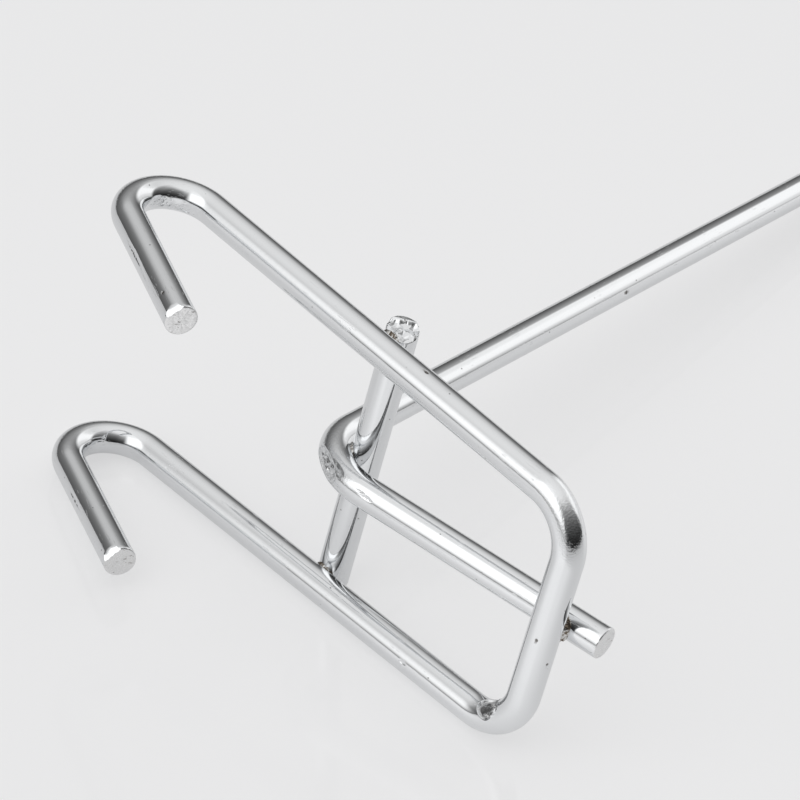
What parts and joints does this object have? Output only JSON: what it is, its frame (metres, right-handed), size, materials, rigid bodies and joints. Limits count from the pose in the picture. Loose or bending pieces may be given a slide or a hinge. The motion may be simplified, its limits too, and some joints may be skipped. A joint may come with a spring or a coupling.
{
  "type": "plastic bag holder",
  "caption": "Chromed wire bag holder that hooks over a wall grid: a U-shaped frame with hooked arms, a welded cross bar and a long prong with an upturned tip.",
  "frame": {"origin": "centre of the bounding box in X and Y, at the height of the surface that the holder lies on", "axes": "+X runs along the lower arm from its hook to the bottom of the U, +Y is where the prong points, +Z is up from the surface. On a wall the holder hangs with -X up and +Y out from the wall."},
  "size_m": [0.0968, 0.2196, 0.0508],
  "materials": {
    "chrome_wire": "bright chrome plate over drawn steel wire, with a matt film on the cut ends",
    "weld_metal": "thin, rough plating over dull weld metal"
  },
  "bodies": {
    "root": {"hook_frame": "chrome_wire", "cross_bar": "chrome_wire", "prong": "chrome_wire", "upper_arm_weld": "weld_metal", "lower_arm_weld": "weld_metal", "prong_bend_weld": "weld_metal", "prong_foot_weld": "weld_metal"}
  },
  "joints": []
}
